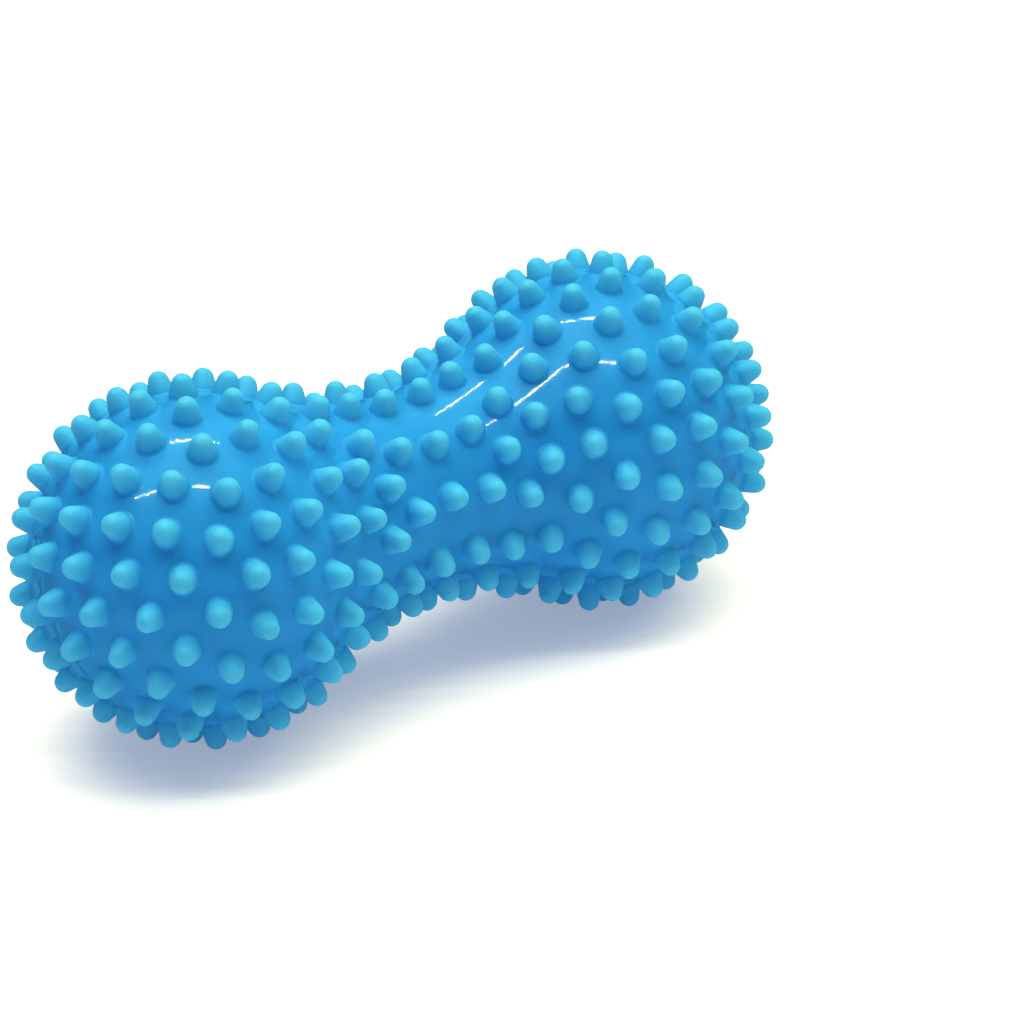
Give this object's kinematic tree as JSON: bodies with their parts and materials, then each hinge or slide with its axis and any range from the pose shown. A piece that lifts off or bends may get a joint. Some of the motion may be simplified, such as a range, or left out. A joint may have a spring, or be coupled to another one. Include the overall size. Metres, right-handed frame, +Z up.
{
  "type": "peanut-shaped inflatable spiky massage ball",
  "caption": "Two-lobed hollow soft PVC ball with a narrow waist, covered all over in short round-tipped spikes, with a recessed rubber needle valve near one end.",
  "frame": {"origin": "on the surface that the ball stands on, under the middle of its waist", "axes": "+X along the long axis, towards the lobe that holds the valve; +Z up, with the ball lying on four of its spikes"},
  "size_m": [0.1792, 0.0792, 0.0791],
  "materials": {
    "skin_pvc": "soft satin PVC, smooth, mid blue",
    "spike_pvc": "soft satin PVC, smooth, lighter blue towards the tips",
    "valve_rubber": "matt natural rubber, warm grey"
  },
  "bodies": {
    "root": {"skin": "skin_pvc", "spikes": "spike_pvc", "valve_plug": "valve_rubber"}
  },
  "joints": []
}
